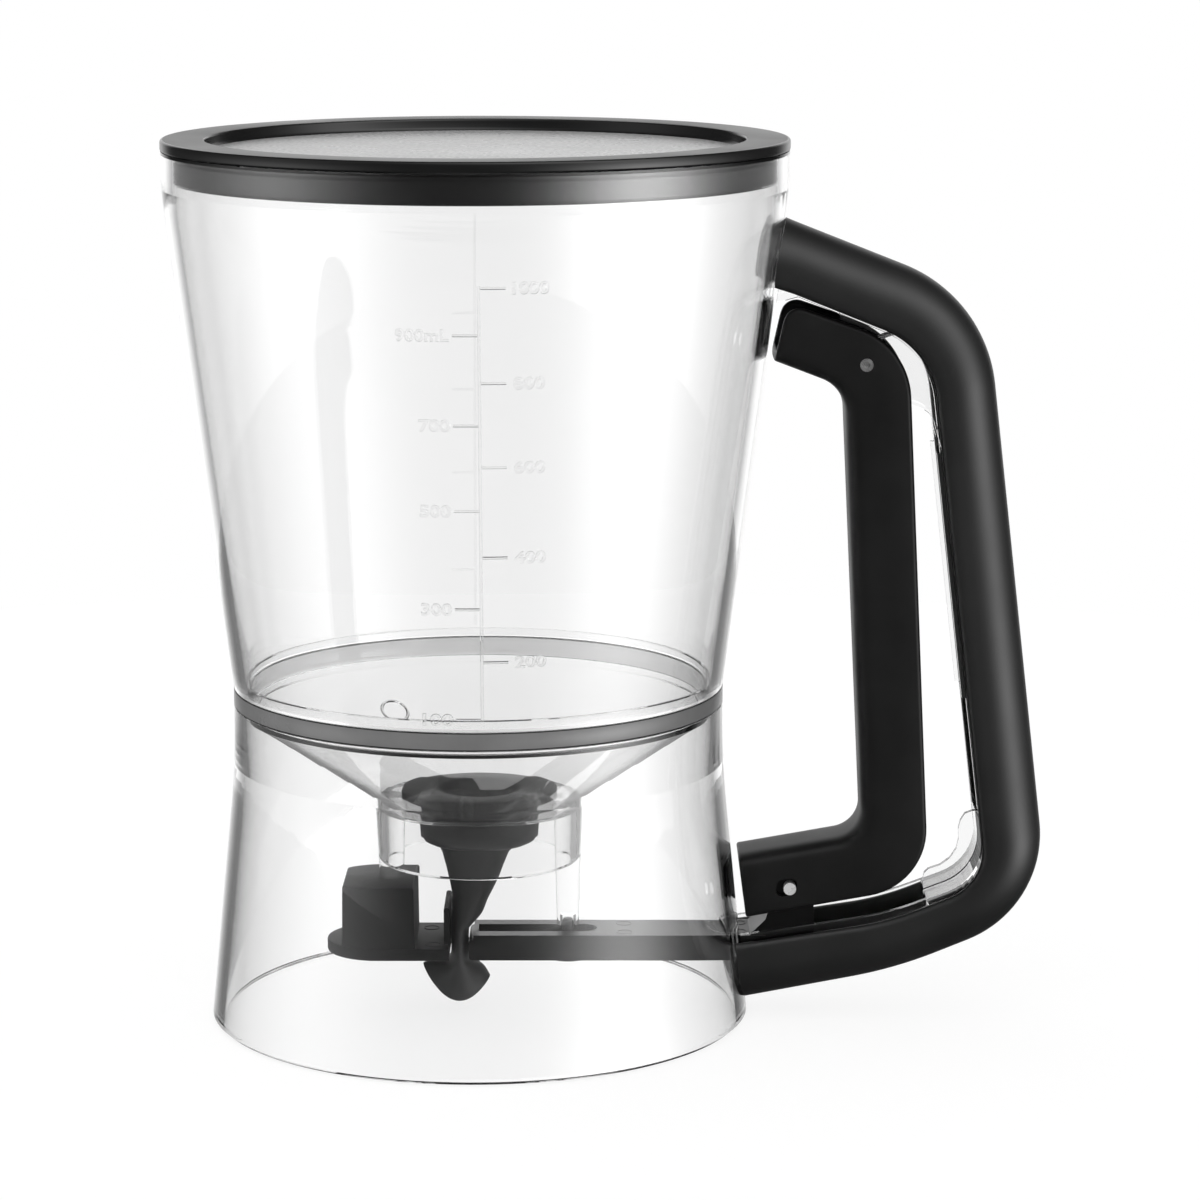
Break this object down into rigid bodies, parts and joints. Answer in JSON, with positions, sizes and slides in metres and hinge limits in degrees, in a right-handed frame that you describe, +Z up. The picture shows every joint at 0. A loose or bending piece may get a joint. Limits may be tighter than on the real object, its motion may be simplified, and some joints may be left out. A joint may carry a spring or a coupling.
{
  "type": "pancake batter dispenser",
  "caption": "Clear jug with a lift-off lid and a squeeze trigger in its handle that opens a pinched silicone outlet to portion batter.",
  "frame": {"origin": "on the jug's axis at the level the dispenser stands on", "axes": "+X from the jug's axis to the handle, +Z up, +Y away from the side the picture shows"},
  "size_m": [0.1882, 0.1328, 0.19],
  "materials": {
    "clear_plastic": "clear, polished",
    "clear_frame": "clear, polished",
    "grey_plastic": "satin",
    "black_plastic": "fine satin",
    "silicone": "matt silicone",
    "seal_rubber": "smooth",
    "steel": "bright drawn wire and turned pins"
  },
  "bodies": {
    "jug": {"hopper": "clear_plastic", "base_skirt": "clear_plastic", "waist_ring": "grey_plastic", "funnel": "clear_plastic", "nozzle": "silicone", "pinch_block": "black_plastic", "block_screw": "steel", "guide_screw": "steel", "guide_washer": "steel", "handle_frame": "clear_frame", "handle_cover": "black_plastic", "pivot_pin": "steel", "return_spring": "steel"},
    "trigger": {"trigger": "black_plastic"},
    "bar": {"slide_bar": "black_plastic", "link_pin": "steel"},
    "lid": {"lid": "black_plastic", "lid_seal": "seal_rubber"}
  },
  "joints": [
    {"name": "trigger_pivot", "type": "hinge", "parent": "jug", "child": "trigger", "pos_m": [0.0825, 0, 0.14265], "axis": [0, -1, 0], "range_deg": [0, 5], "stiffness_Nm_per_rad": 0.6, "springref_deg": -20.05, "deforming": ["return_spring"]},
    {"name": "bar_slide", "type": "slide", "parent": "jug", "child": "bar", "axis": [1, 0, 0], "range_m": [0, 0.01], "deforming": ["nozzle"]},
    {"name": "lid_lift", "type": "slide", "parent": "jug", "child": "lid", "axis": [0, 0, 1], "range_m": [0, 0.05]}
  ],
  "couplings": [
    {"joint": "bar_slide", "follows": "trigger_pivot", "m_per_rad": 0.1145}
  ]
}
